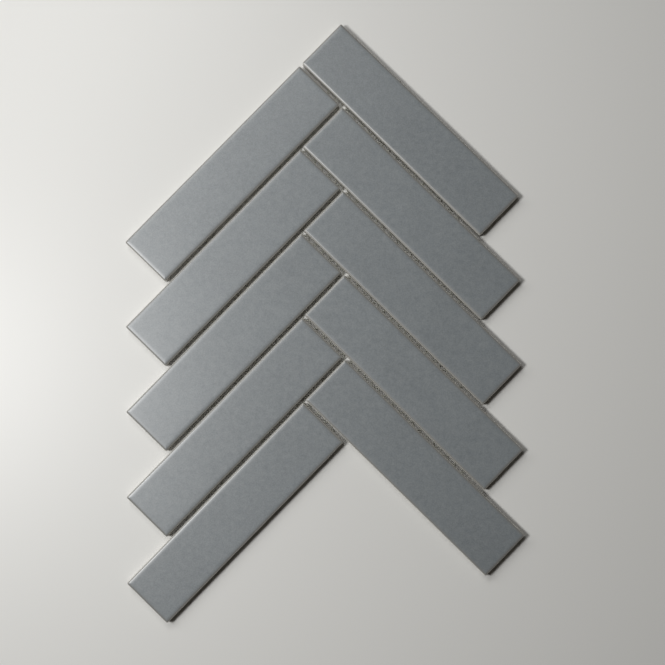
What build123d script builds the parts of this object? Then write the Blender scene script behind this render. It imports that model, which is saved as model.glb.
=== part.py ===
from build123d import *
import math
import os

# Herringbone mosaic sheet: ten glazed ceramic chips, bonded face up on a backing mesh.
# Millimetres. The sheet lies flat, face up, +Z up, with its underside on z = 0.
# Seen from above with +Y at the top, the chips make a zigzag of upturned Vs.

# Chips
chip_length = 146.0
chip_width = 33.0
chip_thickness = 6.0
joint = 2.0
rows = 5
corner_radius = 0.8

# Section of the rounded top edge: three curves, each tighter and steeper than the one before.
# The two angles are the slopes at which one curve hands over to the next.
crown_radius = 18.0
crown_angle = 5.0
shoulder_radius = 2.5
shoulder_angle = 28.0
edge_radius = 0.75
back_arris = 0.4

# Shallow keying channels pressed into the back of each chip
key_count = 3
key_width = 4.0
key_depth = 0.4
key_end_margin = 6.0
key_side_margin = 5.0

# Backing mesh: flat strands square to the sheet, fused where they cross
mesh_thickness = 0.4
mesh_pitch_x = 4.0
mesh_pitch_y = 5.0
strand_width_x = 1.0
strand_width_y = 1.1
mesh_side_inset = 32.9
mesh_edge_inset = 7.4
mesh_apex_cut = 36.0
mesh_bands = 6

# Values that follow from the ones above
pitch = chip_width + joint
root_two = math.sqrt(2.0)
sheet_width = (2.0 * chip_length + pitch) / root_two
sheet_height = (2.0 * rows * pitch - joint + chip_length) / root_two
shift_x = pitch / (2.0 * root_two)
shift_y = sheet_height / 2.0

os.makedirs("parts", exist_ok=True)


def to_sheet(a, b):
    # a runs down to the right and b down to the left, both from the apex of the sheet
    return ((a - b) / root_two + shift_x, shift_y - (a + b) / root_two)


def curve_point(centre, radius, slope):
    # The point of a curve where its slope, down towards the edge, is the given one
    return (centre[0] + radius * math.sin(slope), centre[1] + radius * math.cos(slope))


def edge_section(half_span):
    # Ends and middles of the three curves, from the flat face out to the side
    crown_end = math.radians(crown_angle)
    shoulder_end = math.radians(shoulder_angle)
    upright = math.pi / 2.0
    crown_span = crown_radius * math.sin(crown_end)
    shoulder_span = shoulder_radius * (math.sin(shoulder_end) - math.sin(crown_end))
    edge_span = edge_radius * (1.0 - math.sin(shoulder_end))
    face_end = (half_span - crown_span - shoulder_span - edge_span, chip_thickness)
    points = [face_end]
    start = face_end
    slope = 0.0
    for radius, end in ((crown_radius, crown_end), (shoulder_radius, shoulder_end), (edge_radius, upright)):
        centre = (start[0] - radius * math.sin(slope), start[1] - radius * math.cos(slope))
        points.append(curve_point(centre, radius, (slope + end) / 2.0))
        points.append(curve_point(centre, radius, end))
        start = points[-1]
        slope = end
    return points


def mirrored(point):
    return (-point[0], point[1])


def chip_profile(span, plane):
    # Closed section of a chip across the given span: flat back, arris, side, rounded edge, flat face
    half = span / 2.0
    points = edge_section(half)
    back_edge = (half - back_arris, 0.0)
    side_foot = (half, back_arris)
    with BuildSketch(plane) as sketch:
        with BuildLine():
            Line(mirrored(back_edge), back_edge)
            Line(back_edge, side_foot)
            Line(side_foot, points[6])
            for number in (6, 4, 2):
                ThreePointArc(points[number], points[number - 1], points[number - 2])
            Line(points[0], mirrored(points[0]))
            for number in (0, 2, 4):
                ThreePointArc(mirrored(points[number]), mirrored(points[number + 1]), mirrored(points[number + 2]))
            Line(mirrored(points[6]), mirrored(side_foot))
            Line(mirrored(side_foot), mirrored(back_edge))
        make_face()
    return sketch.sketch


def make_chip():
    # One chip with its length along X, back on z = 0
    along = extrude(chip_profile(chip_width, Plane.YZ), amount=chip_length / 2.0, both=True)
    across = extrude(chip_profile(chip_length, Plane.XZ), amount=chip_width / 2.0, both=True)
    plan = extrude(RectangleRounded(chip_length, chip_width, corner_radius), amount=chip_thickness)
    body = along & across & plan
    key_length = chip_length - 2.0 * key_end_margin
    key_span = chip_width - 2.0 * key_side_margin - key_width
    key_step = key_span / (key_count - 1)
    for number in range(key_count):
        offset = number * key_step - key_span / 2.0
        channel = extrude(SlotOverall(key_length, key_width), amount=key_depth)
        body = body - Pos(0.0, offset, 0.0) * channel
    return body


def place(chip, a_centre, b_centre, angle):
    x, y = to_sheet(a_centre, b_centre)
    placed = Pos(x, y, mesh_thickness) * Rot(0.0, 0.0, angle) * chip
    return placed.solids()[0]


def save(solid, name):
    solid.label = name
    export_step(solid, "parts/" + name + ".step")


chip = make_chip()
for row in range(rows):
    near = row * pitch
    right_chip = place(chip, near + chip_length / 2.0, near + chip_width / 2.0, -45.0)
    left_chip = place(chip, near + chip_width / 2.0, near + pitch + chip_length / 2.0, 45.0)
    save(right_chip, "tile_right_" + str(row + 1))
    save(left_chip, "tile_left_" + str(row + 1))


# Backing mesh. Its outline follows the zigzag a little inside the outer chips.
# It is cut straight down at both sides and straight across under the apex.
mesh_inner = mesh_edge_inset
mesh_outer = rows * pitch - joint - mesh_edge_inset
mesh_right = sheet_width / 2.0 - mesh_side_inset
mesh_left = -mesh_right
mesh_top = shift_y - mesh_apex_cut


def top_edge(x):
    sloped = shift_y - root_two * mesh_inner - abs(x - shift_x)
    return min(sloped, mesh_top)


def bottom_edge(x):
    return shift_y - root_two * mesh_outer - abs(x - shift_x)


def band_outline(x_low, x_high):
    # Corner points of the mesh outline between two upright cuts, counter-clockwise
    shoulder = mesh_apex_cut - root_two * mesh_inner
    stops = [x_low, x_high]
    for corner in (shift_x - shoulder, shift_x, shift_x + shoulder):
        if x_low + 0.01 < corner < x_high - 0.01:
            stops.append(corner)
    stops.sort()
    lower = []
    upper = []
    for stop in stops:
        at_apex = abs(stop - shift_x) < 0.001
        if at_apex or stop in (x_low, x_high):
            lower.append((stop, bottom_edge(stop)))
        if not at_apex or stop in (x_low, x_high):
            upper.append((stop, top_edge(stop)))
    return lower + upper[::-1]


def well_inside(x0, x1, y0, y1, x_low, x_high):
    # True where an opening lies wholly within the outline, with material all round it
    margin = 0.05
    if x0 < x_low + margin or x1 > x_high - margin:
        return False
    marks = [x0, x1]
    if x0 < shift_x < x1:
        marks.append(shift_x)
    for mark in marks:
        if y1 > top_edge(mark) - margin or y0 < bottom_edge(mark) + margin:
            return False
    return True


def clear_of(x0, x1, y0, y1, x_low, x_high):
    # True where an opening has nothing in common with the outline
    if x1 < x_low or x0 > x_high:
        return True
    marks = [x0, x1]
    if x0 < shift_x < x1:
        marks.append(shift_x)
    above = all(y0 > top_edge(mark) for mark in marks)
    below = all(y1 < bottom_edge(mark) for mark in marks)
    return above or below


def rectangle_wire(x0, x1, y0, y1):
    return Wire.make_polygon([(x0, y0), (x1, y0), (x1, y1), (x0, y1)], close=True)


def mesh_band(x_low, x_high):
    outline = Face(Wire.make_polygon(band_outline(x_low, x_high), close=True))
    inner_wires = []
    notches = []
    first_column = math.floor(x_low / mesh_pitch_x) - 1
    last_column = math.ceil(x_high / mesh_pitch_x) + 1
    first_row = math.floor(-shift_y / mesh_pitch_y) - 1
    last_row = math.ceil(shift_y / mesh_pitch_y) + 1
    for column in range(first_column, last_column + 1):
        x0 = column * mesh_pitch_x + strand_width_x / 2.0
        x1 = (column + 1) * mesh_pitch_x - strand_width_x / 2.0
        for line in range(first_row, last_row + 1):
            y0 = line * mesh_pitch_y + strand_width_y / 2.0
            y1 = (line + 1) * mesh_pitch_y - strand_width_y / 2.0
            if clear_of(x0, x1, y0, y1, x_low, x_high):
                continue
            if well_inside(x0, x1, y0, y1, x_low, x_high):
                inner_wires.append(rectangle_wire(x0, x1, y0, y1))
            else:
                notches.append(Face(rectangle_wire(x0, x1, y0, y1)))
    notched = outline.cut(*notches)
    largest = max(notched.faces(), key=lambda face: face.area)
    sheet = Face(largest.outer_wire(), inner_wires)
    solid = extrude(sheet, amount=mesh_thickness, dir=(0.0, 0.0, 1.0))
    return max(solid.solids(), key=lambda piece: piece.volume)


# Cuts between the bands fall midway between strands
columns = round((mesh_right - mesh_left) / mesh_pitch_x)
for band in range(mesh_bands):
    low_column = round(columns * band / mesh_bands) - columns // 2
    high_column = round(columns * (band + 1) / mesh_bands) - columns // 2
    low = (low_column + 0.5) * mesh_pitch_x
    high = (high_column + 0.5) * mesh_pitch_x
    if band == 0:
        low = mesh_left
    if band == mesh_bands - 1:
        high = mesh_right
    save(mesh_band(low, high), "backing_mesh_" + str(band + 1))
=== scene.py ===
import math
import random

import bmesh
import bpy
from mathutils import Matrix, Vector, noise


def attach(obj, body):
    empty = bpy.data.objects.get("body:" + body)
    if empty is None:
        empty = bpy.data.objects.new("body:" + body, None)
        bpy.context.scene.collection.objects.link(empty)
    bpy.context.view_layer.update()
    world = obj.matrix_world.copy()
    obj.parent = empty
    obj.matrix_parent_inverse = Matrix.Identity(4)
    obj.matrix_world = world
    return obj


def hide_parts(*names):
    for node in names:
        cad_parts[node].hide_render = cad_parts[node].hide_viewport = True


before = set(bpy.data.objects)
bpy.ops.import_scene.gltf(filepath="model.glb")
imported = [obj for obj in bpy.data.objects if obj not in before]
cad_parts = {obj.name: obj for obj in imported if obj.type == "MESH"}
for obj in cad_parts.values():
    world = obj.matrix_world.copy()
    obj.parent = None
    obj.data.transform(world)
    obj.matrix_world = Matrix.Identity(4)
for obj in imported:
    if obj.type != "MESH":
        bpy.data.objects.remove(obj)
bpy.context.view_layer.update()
scene = bpy.context.scene

# Herringbone mosaic sheet: ten glazed chips on a backing mesh, lying face up on a pale floor.
# The sheet's shapes are drawn in millimetres and then scaled to metres.
MM = 0.001
ROOT2 = math.sqrt(2.0)

# Chips, as in the part
LENGTH = 146.0
WIDTH = 33.0
THICK = 6.0
JOINT = 2.0
PITCH = WIDTH + JOINT
ROWS = 5
CORNER = 0.8

# The three curves of the rounded top edge, and the slopes at which one hands over to the next
CROWN = 18.0
CROWN_ANGLE = math.radians(5.0)
SHOULDER = 2.5
SHOULDER_ANGLE = math.radians(28.0)
EDGE = 0.75
ARRIS = 0.4

# Keying channels in the back of a chip
KEYS = 3
KEY_WIDTH = 4.0
KEY_DEPTH = 0.4
KEY_END = 6.0
KEY_SIDE = 5.0

# Backing mesh, as in the part
MESH_THICK = 0.4
STEP_X = 4.0
STEP_Y = 5.0
MESH_SIDE = 32.9
MESH_EDGE = 7.4
MESH_APEX = 36.0
BANDS = 6

# Yarns of the mesh: half widths and half heights, and how far the upright pairs swing when they twist
UPRIGHT_HALF_WIDTH = 0.25
UPRIGHT_HALF_HEIGHT = 0.085
UPRIGHT_SIDES = 6
TWIST_ASIDE = 0.20
TWIST_RISE = 0.10
CROSS_HALF_WIDTH = 0.48
CROSS_HALF_HEIGHT = 0.07
CROSS_SIDES = 8

# Steps of the chip's outline: along its sides, and round each corner
LONG_STEPS = 48
SHORT_STEPS = 12
CORNER_STEPS = 5

# Values that follow from the ones above
SHEET_W = (2.0 * LENGTH + PITCH) / ROOT2
SHEET_H = (2.0 * ROWS * PITCH - JOINT + LENGTH) / ROOT2
SHIFT_X = PITCH / (2.0 * ROOT2)
SHIFT_Y = SHEET_H / 2.0
MESH_OUTER = ROWS * PITCH - JOINT - MESH_EDGE
MESH_RIGHT = SHEET_W / 2.0 - MESH_SIDE
MESH_TOP = SHIFT_Y - MESH_APEX

# Colours of the chips
GLAZE = (0.203, 0.223, 0.2325, 1.0)
# A warm tint near the top of the edge, painted in place of the warm light that the shaded edges catch
WARM_SHADE_TINT = (0.222, 0.219, 0.205, 1.0)
# A pale band where the edge turns over: partly thinner glaze, partly a painted highlight along the edge
THIN_GLAZE_AND_HIGHLIGHT = (0.58, 0.565, 0.515, 1.0)
SIDE_GLAZE = (0.275, 0.268, 0.238, 1.0)
DARK_BODY = (0.44, 0.405, 0.345, 1.0)
LIGHT_BODY = (0.60, 0.565, 0.50, 1.0)
CHALKY_BODY = (0.70, 0.68, 0.64, 1.0)

# Heights above the floor, in metres, between which the colour changes on its way down the edge: the
# painted warm shade tint, the thin glaze with its painted highlight, and the side
WARM_SHADE_HEIGHTS = (0.00637, 0.00618)
THIN_GLAZE_AND_HIGHLIGHT_HEIGHTS = (0.00612, 0.00580)
SIDE_HEIGHTS = (0.0056, 0.0051)
GLAZE_LINE_HEIGHTS = (0.0011, 0.0020)

# Sheen of the glaze and of the bare body
GLAZE_ROUGHNESS = 0.38
BODY_ROUGHNESS = 0.9
GLAZE_IOR = 1.55

# Colours of the mesh and the floor
DARK_YARN = (0.66, 0.66, 0.59, 1.0)
LIGHT_YARN = (0.86, 0.86, 0.79, 1.0)
RESIN_PATCH = (0.52, 0.51, 0.45, 1.0)
FLOOR = (0.765, 0.76, 0.732, 1.0)


# Helpers for objects, meshes and materials
def new_object(name, data):
    obj = bpy.data.objects.new(name, data)
    scene.collection.objects.link(obj)
    return obj


def finished_mesh(bm, name):
    mesh = bpy.data.meshes.new(name)
    bm.to_mesh(mesh)
    bm.free()
    return mesh


def join_rings(bm, lower, upper, flip=False):
    # A closed strip of four-sided faces between two rings with as many points
    count = len(lower)
    for index in range(count):
        after = (index + 1) % count
        quad = (lower[index], lower[after], upper[after], upper[index])
        bm.faces.new(quad[::-1] if flip else quad)


def node_material(name):
    material = bpy.data.materials.new(name)
    material.use_nodes = True
    tree = material.node_tree
    shader = tree.nodes["Principled BSDF"]
    return material, tree, shader


def add(tree, kind, **values):
    node = tree.nodes.new(kind)
    for key, value in values.items():
        setattr(node, key, value)
    return node


def feed(tree, socket, value):
    # A socket takes either a plain value or the output of another node
    if isinstance(value, bpy.types.NodeSocket):
        tree.links.new(value, socket)
    else:
        socket.default_value = value


def object_place(tree):
    return add(tree, "ShaderNodeTexCoord").outputs["Object"]


def total(tree, first, second):
    node = add(tree, "ShaderNodeMath", operation="ADD")
    feed(tree, node.inputs[0], first)
    feed(tree, node.inputs[1], second)
    return node.outputs[0]


def scaled(tree, value, factor):
    node = add(tree, "ShaderNodeMath", operation="MULTIPLY")
    feed(tree, node.inputs[0], value)
    feed(tree, node.inputs[1], factor)
    return node.outputs[0]


def noise_node(tree, vector, scale, detail=3.0, rough=0.5):
    node = add(tree, "ShaderNodeTexNoise")
    node.inputs["Scale"].default_value = scale
    node.inputs["Detail"].default_value = detail
    node.inputs["Roughness"].default_value = rough
    tree.links.new(vector, node.inputs["Vector"])
    return node.outputs["Fac"]


def remap(tree, value, low, high, to_low=0.0, to_high=1.0):
    node = add(tree, "ShaderNodeMapRange")
    tree.links.new(value, node.inputs["Value"])
    node.inputs["From Min"].default_value = low
    node.inputs["From Max"].default_value = high
    node.inputs["To Min"].default_value = to_low
    node.inputs["To Max"].default_value = to_high
    return node.outputs["Result"]


def swing(tree, value, amount):
    # Noise turned into a value between minus and plus the given amount
    return remap(tree, value, 0.3, 0.7, -amount, amount)


def mix_colour(tree, factor, first, second):
    node = add(tree, "ShaderNodeMix", data_type="RGBA")
    feed(tree, node.inputs[0], factor)
    feed(tree, node.inputs[6], first)
    feed(tree, node.inputs[7], second)
    return node.outputs[2]


def mix_value(tree, factor, first, second):
    node = add(tree, "ShaderNodeMix", data_type="FLOAT")
    feed(tree, node.inputs[0], factor)
    feed(tree, node.inputs[2], first)
    feed(tree, node.inputs[3], second)
    return node.outputs[0]


def add_bump(tree, shader, height, strength, distance):
    bump = add(tree, "ShaderNodeBump")
    bump.inputs["Strength"].default_value = strength
    bump.inputs["Distance"].default_value = distance
    tree.links.new(height, bump.inputs["Height"])
    tree.links.new(bump.outputs[0], shader.inputs["Normal"])


# Chip material
def own_place(tree, place, seed):
    # The place moved by the chip's own amount, so that no two chips share a pattern
    moved = add(tree, "ShaderNodeVectorMath", operation="ADD")
    tree.links.new(place, moved.inputs[0])
    moved.inputs[1].default_value = (seed * 0.37, seed * 0.21, seed * 0.11)
    return moved.outputs[0]


def height_above_floor(tree, place):
    split = add(tree, "ShaderNodeSeparateXYZ")
    tree.links.new(place, split.inputs[0])
    return split.outputs["Z"]


def face_glaze(tree, spot, mottle, lift):
    # Drifting tone, soft mottling of a few millimetres, and fine specks
    drift = noise_node(tree, spot, scale=22.0, detail=2.0)
    grain = noise_node(tree, spot, scale=1500.0, detail=2.0)
    tone = total(tree, swing(tree, drift, 0.035), swing(tree, mottle, 0.07))
    tone = total(tree, tone, swing(tree, grain, 0.12))
    tone = total(tree, tone, 1.0 + lift)
    cooler = (GLAZE[0] * 0.994, GLAZE[1], GLAZE[2] * 1.008, 1.0)
    warmer = (GLAZE[0] * 1.008, GLAZE[1], GLAZE[2] * 0.992, 1.0)
    hue = mix_colour(tree, remap(tree, mottle, 0.35, 0.65), cooler, warmer)
    toned = add(tree, "ShaderNodeVectorMath", operation="SCALE")
    tree.links.new(hue, toned.inputs[0])
    tree.links.new(tone, toned.inputs["Scale"])
    return toned.outputs[0]


def edge_glaze_and_painted_light(tree, height, glaze):
    # Down the edge the colour takes a warm tint that is painted shade light, then a pale band where the
    # edge turns over that is partly thinner glaze and partly a painted highlight, then turns darker on the
    # side
    glaze = mix_colour(tree, remap(tree, height, *WARM_SHADE_HEIGHTS), glaze, WARM_SHADE_TINT)
    glaze = mix_colour(tree, remap(tree, height, *THIN_GLAZE_AND_HIGHLIGHT_HEIGHTS), glaze, THIN_GLAZE_AND_HIGHLIGHT)
    return mix_colour(tree, remap(tree, height, *SIDE_HEIGHTS), glaze, SIDE_GLAZE)


def glazed_part(tree, spot, height):
    # 1 above an uneven glaze line on the sides, and 0 on the bare body below it
    wander = noise_node(tree, spot, scale=160.0, detail=2.0)
    line = remap(tree, wander, 0.25, 0.75, *GLAZE_LINE_HEIGHTS)
    over = add(tree, "ShaderNodeMath", operation="SUBTRACT")
    tree.links.new(height, over.inputs[0])
    tree.links.new(line, over.inputs[1])
    return remap(tree, over.outputs[0], -0.0001, 0.00015)


def body_colour(tree, spot, grain):
    patch = noise_node(tree, spot, scale=90.0, rough=0.55)
    body = mix_colour(tree, remap(tree, grain, 0.3, 0.7), DARK_BODY, LIGHT_BODY)
    return mix_colour(tree, remap(tree, patch, 0.4, 0.65, to_high=0.35), body, CHALKY_BODY)


def add_sheen(tree, shader, glazed, mottle):
    # Satin glaze over a matte body
    satin = total(tree, swing(tree, mottle, 0.03), GLAZE_ROUGHNESS)
    tree.links.new(mix_value(tree, glazed, BODY_ROUGHNESS, satin), shader.inputs["Roughness"])
    tree.links.new(glazed, shader.inputs["Coat Weight"])
    shader.inputs["IOR"].default_value = GLAZE_IOR
    shader.inputs["Coat IOR"].default_value = GLAZE_IOR
    shader.inputs["Coat Roughness"].default_value = GLAZE_ROUGHNESS


def add_relief(tree, shader, spot, glazed, body_grain):
    # Faint waviness of the fired glaze, and the grain of the body
    wave = scaled(tree, noise_node(tree, spot, scale=130.0, detail=2.0), 0.00003)
    pits = scaled(tree, noise_node(tree, spot, scale=900.0), 0.000004)
    coarse = scaled(tree, body_grain, 0.00012)
    relief = mix_value(tree, glazed, coarse, total(tree, wave, pits))
    add_bump(tree, shader, relief, strength=1.0, distance=1.0)


def chip_material(name, lift, seed):
    material, tree, shader = node_material(name)
    place = object_place(tree)
    spot = own_place(tree, place, seed)
    height = height_above_floor(tree, place)
    mottle = noise_node(tree, spot, scale=310.0, detail=4.0, rough=0.6)
    body_grain = noise_node(tree, spot, scale=2200.0, detail=4.0, rough=0.65)
    glaze = edge_glaze_and_painted_light(tree, height, face_glaze(tree, spot, mottle, lift))
    glazed = glazed_part(tree, spot, height)
    body = body_colour(tree, spot, body_grain)
    tree.links.new(mix_colour(tree, glazed, body, glaze), shader.inputs["Base Color"])
    add_sheen(tree, shader, glazed, mottle)
    add_relief(tree, shader, spot, glazed, body_grain)
    return material


# Mesh material
def mesh_material():
    material, tree, shader = node_material("resin_coated_mesh")
    place = object_place(tree)
    fine = noise_node(tree, place, scale=2600.0, rough=0.6)
    patch = noise_node(tree, place, scale=170.0, rough=0.6)
    yarn = mix_colour(tree, remap(tree, fine, 0.3, 0.7), DARK_YARN, LIGHT_YARN)
    coated = mix_colour(tree, remap(tree, patch, 0.45, 0.7, to_high=0.6), yarn, RESIN_PATCH)
    roughness = remap(tree, patch, 0.3, 0.7, to_low=0.75, to_high=0.45)
    tree.links.new(coated, shader.inputs["Base Color"])
    tree.links.new(roughness, shader.inputs["Roughness"])
    add_bump(tree, shader, fine, strength=0.8, distance=0.00008)
    return material


# Chip shape
def to_sheet(a, b):
    # a runs down to the right and b down to the left, both from the apex of the sheet
    return ((a - b) / ROOT2 + SHIFT_X, SHIFT_Y - (a + b) / ROOT2)


def wobble(x, y, seed, scale, amount):
    return amount * noise.noise(Vector((x * scale + seed * 7.3, y * scale - seed * 3.1, seed * 1.7)))


def inward(x, y, seed):
    # The outline strays inward by up to a tenth of a millimetre, never outward
    return 0.05 + wobble(x, y, seed, 0.11, 0.05)


def sag(x, y, seed):
    # The face lies up to a few hundredths of a millimetre below its true plane
    return 0.012 + wobble(x, y, seed + 3, 0.06, 0.012)


def edge_curve():
    # Inset from the outline and height above the back, from the arris up to the flat face
    arcs = ((EDGE, math.pi / 2.0, SHOULDER_ANGLE, 7), (SHOULDER, SHOULDER_ANGLE, CROWN_ANGLE, 7),
            (CROWN, CROWN_ANGLE, 0.0, 4))
    drop = sum(radius * (math.cos(flat) - math.cos(steep)) for radius, steep, flat, steps in arcs)
    side_top = THICK - drop
    side_foot = ARRIS * 1.3
    points = [(ARRIS, 0.0), (ARRIS * 0.45, ARRIS * 0.3), (ARRIS * 0.1, ARRIS * 0.75), (0.0, side_foot)]
    for share in (0.25, 0.5, 0.75, 1.0):
        points.append((0.0, side_foot + (side_top - side_foot) * share))
    for radius, steep, flat, steps in arcs:
        start_inset, start_height = points[-1]
        for index in range(1, steps + 1):
            turn = steep + (flat - steep) * index / steps
            points.append((start_inset + radius * (math.sin(steep) - math.sin(turn)),
                           start_height + radius * (math.cos(turn) - math.cos(steep))))
    return points


def corner_arc(centre_x, centre_y, radius, start):
    arc = []
    for step in range(CORNER_STEPS + 1):
        angle = math.radians(start + 90.0 * step / CORNER_STEPS)
        arc.append((centre_x + radius * math.cos(angle), centre_y + radius * math.sin(angle)))
    return arc


def outline_ring(inset):
    # One closed ring round the chip at the given inset, with corners that shrink towards a mitre
    radius = max(CORNER - inset * 0.45, 0.12)
    reach_x = LENGTH / 2.0 - inset - radius
    reach_y = WIDTH / 2.0 - inset - radius
    arcs = (corner_arc(reach_x, reach_y, radius, 0.0), corner_arc(-reach_x, reach_y, radius, 90.0),
            corner_arc(-reach_x, -reach_y, radius, 180.0), corner_arc(reach_x, -reach_y, radius, 270.0))
    ring = []
    for number, steps in enumerate((LONG_STEPS, SHORT_STEPS, LONG_STEPS, SHORT_STEPS)):
        ring.extend(arcs[number])
        begin = ring[-1]
        end = arcs[(number + 1) % 4][0]
        for step in range(1, steps):
            share = step / steps
            ring.append((begin[0] + (end[0] - begin[0]) * share, begin[1] + (end[1] - begin[1]) * share))
    return ring


def chip_ring(bm, seed, inset, height):
    # The foot of the chip is true. Higher up its outline strays, and above 2 mm its height does as well.
    rim = min(1.0, height / 1.5)
    near_face = max(0.0, (height - 2.0) / 4.0)
    ring = []
    for x, y in outline_ring(inset):
        pull = rim * inward(x, y, seed)
        ring.append(bm.verts.new((x * (1.0 - pull / (LENGTH / 2.0)),
                                  y * (1.0 - pull / (WIDTH / 2.0)),
                                  height - sag(x, y, seed) * near_face)))
    return ring


def close_chip(bm, seed, ring, inset, is_face):
    # Rings that close in towards the middle of the face or the back, at these distances from its edge
    half_l = LENGTH / 2.0 - inset
    half_w = WIDTH / 2.0 - inset
    outer = ring
    for span in (1.5, 4.0, 7.5, 11.0):
        inner = []
        for vertex in ring:
            x = vertex.co.x * (half_l - span) / half_l
            y = vertex.co.y * (half_w - span) / half_w
            z = THICK - sag(x, y, seed) if is_face else 0.0
            inner.append(bm.verts.new((x, y, z)))
        join_rings(bm, outer, inner, flip=not is_face)
        outer = inner
    bm.faces.new(outer if is_face else outer[::-1])


def chip_mesh(seed):
    curve = edge_curve()
    bm = bmesh.new()
    rings = [chip_ring(bm, seed, inset, height) for inset, height in curve]
    for lower, upper in zip(rings[:-1], rings[1:]):
        join_rings(bm, lower, upper)
    close_chip(bm, seed, rings[-1], curve[-1][0], True)
    close_chip(bm, seed, rings[0], curve[0][0], False)
    bmesh.ops.triangulate(bm, faces=[face for face in bm.faces if len(face.verts) > 4])
    for face in bm.faces:
        face.smooth = True
    bmesh.ops.recalc_face_normals(bm, faces=bm.faces)
    return finished_mesh(bm, "rough")


def channel_ring(bm, offset, shrink, height):
    # A ring with two round ends, drawn in from the channel's outline
    end_centre = (LENGTH - 2.0 * KEY_END) / 2.0 - KEY_WIDTH / 2.0
    reach = KEY_WIDTH / 2.0 - shrink
    ring = []
    for side, half_turn in ((1, 0.0), (-1, math.pi)):
        for step in range(9):
            angle = math.radians(-90.0 + 180.0 * step / 8.0) + half_turn
            ring.append(bm.verts.new((side * end_centre + reach * math.cos(angle),
                                      offset + reach * math.sin(angle), height)))
    return ring


def channel_cutter():
    # The channels in a chip's back, as one cutter. The edges of each channel's floor are eased.
    bm = bmesh.new()
    span = WIDTH - 2.0 * KEY_SIDE - KEY_WIDTH
    levels = ((0.0, -1.0), (0.0, KEY_DEPTH * 0.7), (0.12, KEY_DEPTH * 0.93), (0.4, KEY_DEPTH))
    for number in range(KEYS):
        offset = number * span / (KEYS - 1) - span / 2.0
        rings = [channel_ring(bm, offset, shrink, height) for shrink, height in levels]
        bm.faces.new(rings[0][::-1])
        for lower, upper in zip(rings[:-1], rings[1:]):
            join_rings(bm, lower, upper)
        bm.faces.new(rings[-1])
    bmesh.ops.recalc_face_normals(bm, faces=bm.faces)
    return new_object("channels", finished_mesh(bm, "channels"))


def with_channels(mesh, cutter):
    rough = new_object("rough", mesh)
    cut = rough.modifiers.new("channels", "BOOLEAN")
    cut.operation = "DIFFERENCE"
    cut.solver = "EXACT"
    cut.object = cutter
    graph = bpy.context.evaluated_depsgraph_get()
    result = bpy.data.meshes.new_from_object(rough.evaluated_get(graph))
    bpy.data.objects.remove(rough)
    return result


def lay_down(mesh, a, b, angle):
    # Turn the chip, move it to its place on the mesh, and scale it to metres
    x, y = to_sheet(a, b)
    cosine = math.cos(math.radians(angle))
    sine = math.sin(math.radians(angle))
    for vertex in mesh.vertices:
        px, py, pz = vertex.co
        vertex.co = ((x + px * cosine - py * sine) * MM, (y + px * sine + py * cosine) * MM,
                     (pz + MESH_THICK) * MM)
    mesh.update()


def build_chip(side, row, a, b, angle, cutter):
    seed = row * 2 + (1 if side == "left" else 0) + 1
    name = "glazed_chip_%s_%d" % (side, row + 1)
    mesh = with_channels(chip_mesh(seed), cutter)
    mesh.name = name
    lay_down(mesh, a, b, angle)
    chip = new_object(name, mesh)
    random.seed(seed * 31)
    lift = random.uniform(-0.02, 0.02)
    mesh.materials.clear()
    mesh.materials.append(chip_material(name, lift, seed))
    mesh.set_sharp_from_angle(angle=math.radians(35.0))
    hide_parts("tile_%s_%d" % (side, row + 1))
    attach(chip, "root")
    return chip


def build_chips():
    cutter = channel_cutter()
    made = []
    for row in range(ROWS):
        near = row * PITCH
        made.append(build_chip("right", row, near + LENGTH / 2.0, near + WIDTH / 2.0, -45.0, cutter))
        made.append(build_chip("left", row, near + WIDTH / 2.0, near + PITCH + LENGTH / 2.0, 45.0, cutter))
    bpy.data.objects.remove(cutter)
    return made


# Backing mesh
def top_edge(x):
    return min(SHIFT_Y - ROOT2 * MESH_EDGE - abs(x - SHIFT_X), MESH_TOP)


def bottom_edge(x):
    return SHIFT_Y - ROOT2 * MESH_OUTER - abs(x - SHIFT_X)


def tube_ring(bm, path, index, half_width, half_height, sides):
    before = path[max(index - 1, 0)]
    behind = path[min(index + 1, len(path) - 1)]
    along = Vector((behind[0] - before[0], behind[1] - before[1], 0.0)).normalized()
    across = Vector((-along.y, along.x, 0.0))
    x, y, z = path[index]
    ring = []
    for step in range(sides):
        angle = 2.0 * math.pi * step / sides
        offset = across * (math.cos(angle) * half_width)
        ring.append(bm.verts.new((x + offset.x, y + offset.y, z + math.sin(angle) * half_height)))
    return ring


def tube(bm, path, half_width, half_height, sides):
    # A closed flattened yarn along the path, whose sides stay level
    rings = [tube_ring(bm, path, index, half_width, half_height, sides) for index in range(len(path))]
    for lower, upper in zip(rings[:-1], rings[1:]):
        join_rings(bm, lower, upper)
    bm.faces.new(rings[0])
    bm.faces.new(rings[-1][::-1])


def band_cut(number):
    # Bands are cut midway between upright yarns, and the outer ones end with the mesh
    if number == 0:
        return -MESH_RIGHT
    if number == BANDS:
        return MESH_RIGHT
    columns = round(2.0 * MESH_RIGHT / STEP_X)
    return (round(columns * number / BANDS) - columns // 2 + 0.5) * STEP_X


def yarn_path(centre, bottom, top, sign):
    # One yarn of a twisted pair, which passes over a cross strand and then under the next
    steps = max(4, int((top - bottom) / STEP_Y * 6))
    path = []
    for step in range(steps + 1):
        y = bottom + (top - bottom) * step / steps
        turn = math.pi * y / STEP_Y
        sway = wobble(centre, y, 11, 0.05, 0.12)
        path.append((centre + sway + sign * TWIST_ASIDE * abs(math.sin(turn)), y,
                     MESH_THICK / 2.0 + sign * TWIST_RISE * math.cos(turn)))
    return path


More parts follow.
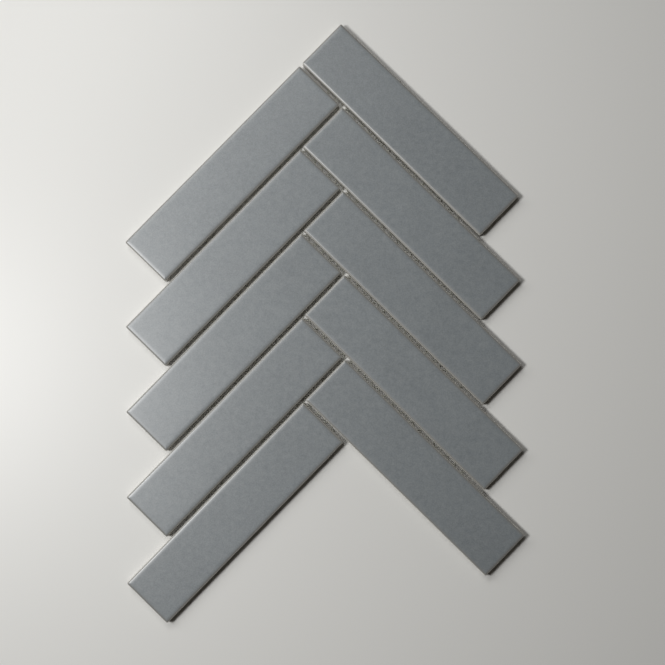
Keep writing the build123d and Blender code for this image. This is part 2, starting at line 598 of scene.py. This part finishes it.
def add_upright_yarns(bm, low, high):
    first = math.ceil((low - 0.5) / STEP_X)
    last = math.floor((high + 0.5) / STEP_X)
    for column in range(first, last + 1):
        centre = column * STEP_X
        if centre < low + 0.3 or centre > high - 0.3:
            continue
        bottom = bottom_edge(centre) + 0.2
        top = top_edge(centre) - 0.2
        for sign in (1, -1):
            path = yarn_path(centre, bottom, top, sign)
            tube(bm, path, UPRIGHT_HALF_WIDTH, UPRIGHT_HALF_HEIGHT, UPRIGHT_SIDES)


def strand_runs(y, low, high):
    # The stretches of a cross strand that lie inside the outline of the mesh
    samples = 4 * max(1, round((high - low) / STEP_X))
    runs = [[]]
    for step in range(samples + 1):
        x = low + (high - low) * step / samples
        if bottom_edge(x) + 0.3 < y < top_edge(x) - 0.3:
            sway = wobble(y, x, 23, 0.05, 0.15)
            runs[-1].append((x, y + sway, MESH_THICK / 2.0 + 0.03 * math.sin(x * 1.3 + y)))
        else:
            runs.append([])
    return [run for run in runs if len(run) > 2]


def add_cross_strands(bm, low, high):
    first = math.ceil(-SHIFT_Y / STEP_Y)
    last = math.floor(SHIFT_Y / STEP_Y)
    for line in range(first, last + 1):
        for run in strand_runs(line * STEP_Y, low, high):
            tube(bm, run, CROSS_HALF_WIDTH, CROSS_HALF_HEIGHT, CROSS_SIDES)


def build_band(band, material):
    low = band_cut(band)
    high = band_cut(band + 1)
    bm = bmesh.new()
    add_upright_yarns(bm, low, high)
    add_cross_strands(bm, low, high)
    for face in bm.faces:
        face.smooth = True
    bmesh.ops.recalc_face_normals(bm, faces=bm.faces)
    for vertex in bm.verts:
        vertex.co *= MM
    name = "mesh_band_%d" % (band + 1)
    piece = new_object(name, finished_mesh(bm, name))
    piece.data.materials.append(material)
    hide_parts("backing_mesh_%d" % (band + 1))
    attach(piece, "root")
    return piece


def build_mesh():
    material = mesh_material()
    return [build_band(band, material) for band in range(BANDS)]


# Floor, light and camera
def build_floor():
    bm = bmesh.new()
    bmesh.ops.create_grid(bm, x_segments=1, y_segments=1, size=3.0)
    made = new_object("floor", finished_mesh(bm, "floor"))
    material, _, shader = node_material("pale_floor")
    shader.inputs["Base Color"].default_value = FLOOR
    shader.inputs["Roughness"].default_value = 0.4
    shader.inputs["Specular IOR Level"].default_value = 0.45
    made.data.materials.append(material)
    return made


def area_light(name, place, size, power):
    # A rectangular lamp that looks at the middle of the sheet
    lamp = bpy.data.lights.new(name, "AREA")
    lamp.shape = "RECTANGLE"
    lamp.size = size[0]
    lamp.size_y = size[1]
    lamp.energy = power
    obj = new_object(name, lamp)
    obj.location = place
    obj.rotation_euler = (-Vector(place)).to_track_quat("-Z", "Y").to_euler()


def dim_world():
    # A weak warm light from all round, which fills the darkest joints
    world = bpy.data.worlds.new("world")
    scene.world = world
    world.use_nodes = True
    background = world.node_tree.nodes["Background"]
    background.inputs["Color"].default_value = (1.0, 0.90, 0.78, 1.0)
    background.inputs["Strength"].default_value = 0.03


def photo_camera():
    # Fitted to the photo for an assumed height of 73 cm. It looks almost straight down.
    data = bpy.data.cameras.new("camera")
    data.sensor_width = 36.0
    data.lens = 67.242
    data.clip_start = 0.01
    camera = new_object("camera", data)
    camera.location = (-0.000165, -0.037238, 0.73)
    camera.rotation_mode = "XYZ"
    camera.rotation_euler = (math.radians(2.3543), math.radians(-0.3976), math.radians(-0.675))
    scene.camera = camera


chips = build_chips()
strands = build_mesh()

floor = build_floor()

area_light("window", place=(-0.485, -0.008, 0.875), size=(0.2, 0.2), power=5.60)
area_light("sky", place=(-0.255, 0.43, 0.66), size=(0.38, 0.29), power=1.78)
area_light("low_sky", place=(-0.95, 0.55, 0.72), size=(0.4, 0.3), power=1.3)
dim_world()
photo_camera()
scene.view_settings.view_transform = "Standard"

low = [1e9] * 3
high = [-1e9] * 3
for obj in chips + strands:
    for vertex in obj.data.vertices:
        for axis in range(3):
            low[axis] = min(low[axis], vertex.co[axis])
            high[axis] = max(high[axis], vertex.co[axis])
